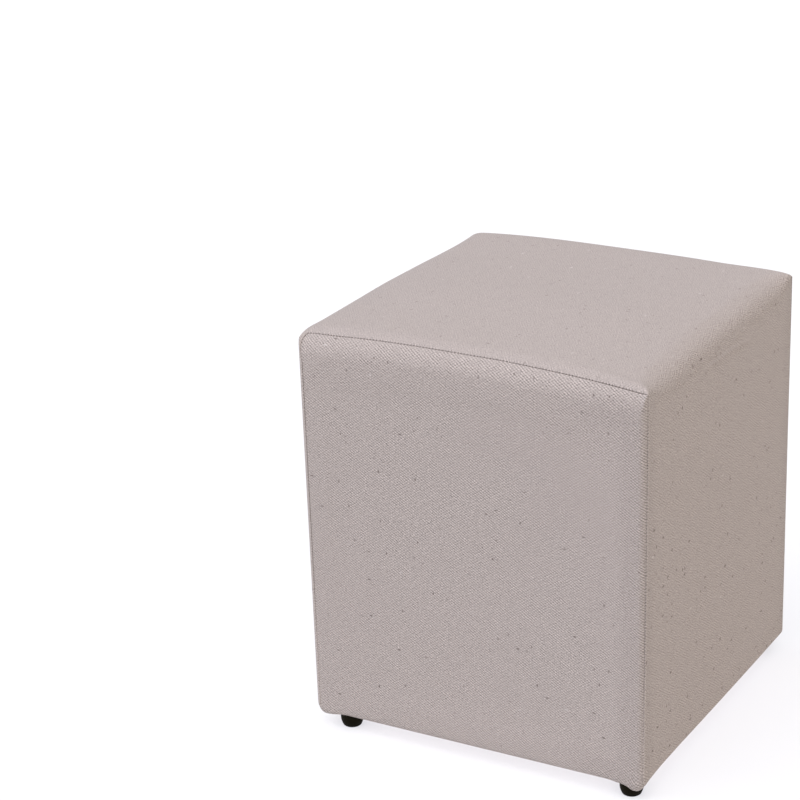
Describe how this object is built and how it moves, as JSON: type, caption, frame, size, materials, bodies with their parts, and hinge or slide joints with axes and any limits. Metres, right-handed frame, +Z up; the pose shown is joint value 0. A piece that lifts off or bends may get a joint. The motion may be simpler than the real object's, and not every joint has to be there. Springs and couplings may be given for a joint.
{
  "type": "cube pouf stool",
  "caption": "Cube pouf stool in woven upholstery cloth, with a softly padded top, sewn-in front and back panels and short tapered glide feet.",
  "frame": {"origin": "on the floor under the middle of the stool", "axes": "+Z up, the front panel faces -Y, +X to the right as seen from the front"},
  "size_m": [0.38, 0.382, 0.4548],
  "materials": {
    "cover_cloth": "plain-woven linen-look upholstery cloth, warm greige, matt, with fine dark flecks",
    "panel_cloth": "the same cloth as the cover, sewn in at the front and back",
    "foot_plastic": "black moulded plastic with a slight sheen"
  },
  "bodies": {
    "root": {"cover_body": "cover_cloth", "front_panel": "panel_cloth", "back_panel": "panel_cloth", "foot_front_left": "foot_plastic", "foot_front_right": "foot_plastic", "foot_back_left": "foot_plastic", "foot_back_right": "foot_plastic"}
  },
  "joints": []
}
